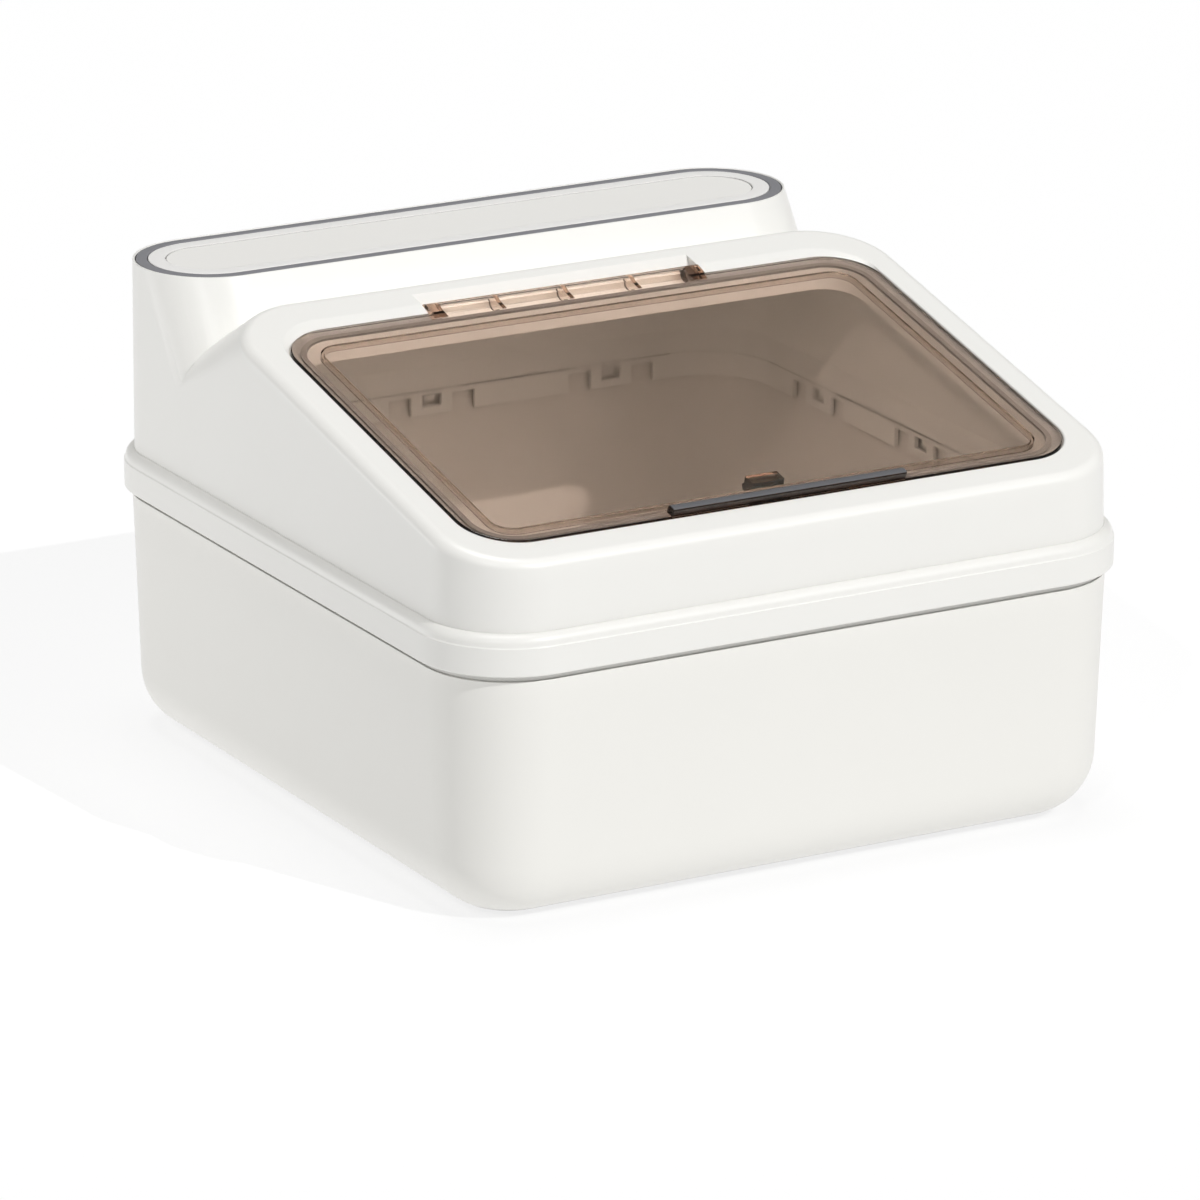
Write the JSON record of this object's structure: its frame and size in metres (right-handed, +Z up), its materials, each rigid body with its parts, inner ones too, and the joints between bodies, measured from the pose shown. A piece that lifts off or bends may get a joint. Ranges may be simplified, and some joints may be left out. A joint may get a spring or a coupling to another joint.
{
  "type": "rice bin with flip lid",
  "caption": "Low rice storage bin with a removable sloping cover, a see-through brown flip lid on a rear hinge, and a rear column closed by a push-in cap with a grey seal.",
  "frame": {"origin": "middle of the base, on the surface it stands on", "axes": "+X to the right across the width, +Y to the back where the column is, +Z up; the lid opens at the front, towards -Y"},
  "size_m": [0.3, 0.3154, 0.194],
  "materials": {
    "bin": "moulded white, fine satin with a soft sheen",
    "rim_seal": "soft silicone, matt",
    "cover": "moulded white, fine satin with a soft sheen",
    "lid_seal": "soft silicone, matt",
    "flip_lid": "clear plastic tinted tea brown, polished",
    "drying_tray": "moulded white, matt",
    "column_cap": "moulded white, fine satin",
    "cap_seal": "soft grey silicone, matt",
    "cap_panel": "bare moulded panel, fine matt"
  },
  "bodies": {
    "bin": {"bin": "bin"},
    "cover": {"cover": "cover", "rim_seal": "rim_seal", "lid_seal": "lid_seal", "drying_tray": "drying_tray"},
    "flip_lid": {"flip_lid": "flip_lid"},
    "cap": {"column_cap": "column_cap", "cap_seal": "cap_seal", "cap_panel": "cap_panel"}
  },
  "joints": [
    {"name": "cover_lift", "type": "slide", "parent": "bin", "child": "cover", "axis": [0, 0, 1], "range_m": [0, 0.08]},
    {"name": "lid_hinge", "type": "hinge", "parent": "cover", "child": "flip_lid", "pos_m": [0, 0.04015, 0.18367], "axis": [-1, 0, 0], "range_deg": [0, 105]},
    {"name": "cap_lift", "type": "slide", "parent": "cover", "child": "cap", "axis": [0, 0, 1], "range_m": [0, 0.04]}
  ]
}
